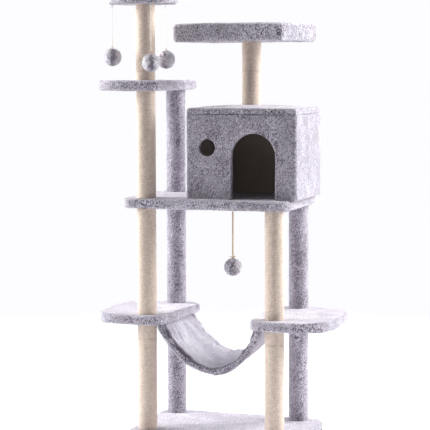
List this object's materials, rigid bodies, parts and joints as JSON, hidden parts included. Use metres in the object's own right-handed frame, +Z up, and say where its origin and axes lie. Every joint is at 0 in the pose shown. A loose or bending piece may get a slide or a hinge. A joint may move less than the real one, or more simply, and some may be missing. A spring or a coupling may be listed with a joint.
{
  "type": "cat tree",
  "caption": "Tall cat tree: plush decks on sisal and plush posts, with a cat house, a raised bed, a hammock and hanging pompon balls.",
  "frame": {"origin": "underside of the base, midway between the four posts", "axes": "+X to the right seen from the house's door, +Y to the back, +Z up"},
  "size_m": [0.894, 0.516, 1.614],
  "materials": {
    "wood_board": "chipboard, sanded",
    "felt": "needled felt",
    "plush": "long brushed pile",
    "sisal_rope": "wound rope, matte",
    "cardboard": "wound paper tube",
    "softwood": "planed",
    "zinc_steel": "zinc plated",
    "foam": "soft foam",
    "lining": "short brushed lining",
    "elastic": "braided elastic",
    "jute": "three-strand twist",
    "pompon_plush": "long fluffy pile"
  },
  "bodies": {
    "root": {"base_board": "wood_board", "base_cover": "plush", "base_felt": "felt", "left_shelf_board": "wood_board", "left_shelf_cover": "plush", "right_shelf_board": "wood_board", "right_shelf_cover": "plush", "platform_board": "wood_board", "platform_cover": "plush", "oval_shelf_board": "wood_board", "oval_shelf_cover": "plush", "perch_board": "wood_board", "perch_cover": "plush", "left_front_wrap_1": "sisal_rope", "left_front_wrap_2": "sisal_rope", "left_front_wrap_3": "sisal_rope", "left_front_wrap_4": "sisal_rope", "right_front_wrap_1": "sisal_rope", "right_front_wrap_2": "sisal_rope", "bed_post_wrap": "sisal_rope", "left_back_sleeve_1": "plush", "left_back_sleeve_2": "plush", "left_back_sleeve_3": "plush", "right_back_sleeve_1": "plush", "right_back_sleeve_2": "plush", "post_tubes": "cardboard", "post_plugs": "softwood", "post_studs": "zinc_steel", "post_bolts": "zinc_steel", "bolt_washers": "zinc_steel", "house_front_panel": "wood_board", "house_back_panel": "wood_board", "house_left_panel": "wood_board", "house_right_panel": "wood_board", "house_skin": "plush", "house_lid_board": "wood_board", "house_lid_cover": "plush", "house_screws": "zinc_steel", "bed_board": "wood_board", "bed_foam_rim": "foam", "bed_cover": "plush", "bed_cushion": "plush", "hammock_cloth": "lining", "hammock_front_hem": "plush", "hammock_back_hem": "plush", "hammock_battens": "softwood", "hammock_screws": "zinc_steel", "string_staples": "zinc_steel"},
    "ring_a": {"perch_ring_a": "zinc_steel"},
    "pendulum_a": {"perch_string_a": "elastic", "perch_ball_a": "pompon_plush"},
    "ring_b": {"perch_ring_b": "zinc_steel"},
    "pendulum_b": {"perch_string_b": "elastic", "perch_ball_b": "pompon_plush"},
    "ring_c": {"perch_ring_c": "zinc_steel"},
    "pendulum_c": {"perch_string_c": "elastic", "perch_ball_c": "pompon_plush"},
    "ring_drop": {"drop_ring": "zinc_steel"},
    "pendulum_drop": {"drop_rope": "jute", "drop_ball": "pompon_plush"}
  },
  "joints": [
    {"name": "perch_ball_a_swing_out", "type": "hinge", "parent": "root", "child": "ring_a", "pos_m": [-0.35395, -0.19514, 1.572], "axis": [-0.3256, 0.9455, 0], "range_deg": [-8, 60]},
    {"name": "perch_ball_a_swing_side", "type": "hinge", "parent": "ring_a", "child": "pendulum_a", "pos_m": [-0.35395, -0.19514, 1.5661], "axis": [-0.9455, -0.3256, 0], "range_deg": [-40, 40]},
    {"name": "perch_ball_b_swing_out", "type": "hinge", "parent": "root", "child": "ring_b", "pos_m": [-0.18533, -0.24993, 1.572], "axis": [-0.8192, -0.5736, 0], "range_deg": [-8, 60]},
    {"name": "perch_ball_b_swing_side", "type": "hinge", "parent": "ring_b", "child": "pendulum_b", "pos_m": [-0.18533, -0.24993, 1.5661], "axis": [0.5736, -0.8192, 0], "range_deg": [-40, 40]},
    {"name": "perch_ball_c_swing_out", "type": "hinge", "parent": "root", "child": "ring_c", "pos_m": [-0.20034, -0.05923, 1.572], "axis": [0.8988, -0.4384, 0], "range_deg": [-8, 25]},
    {"name": "perch_ball_c_swing_side", "type": "hinge", "parent": "ring_c", "child": "pendulum_c", "pos_m": [-0.20034, -0.05923, 1.5661], "axis": [0.4384, 0.8988, 0], "range_deg": [-15, 35]},
    {"name": "drop_ball_swing_out", "type": "hinge", "parent": "root", "child": "ring_drop", "pos_m": [0.055, -0.06, 0.84], "axis": [0, -1, 0], "range_deg": [-40, 40]},
    {"name": "drop_ball_swing_side", "type": "hinge", "parent": "ring_drop", "child": "pendulum_drop", "pos_m": [0.055, -0.06, 0.8341], "axis": [1, 0, 0], "range_deg": [-40, 40]}
  ]
}
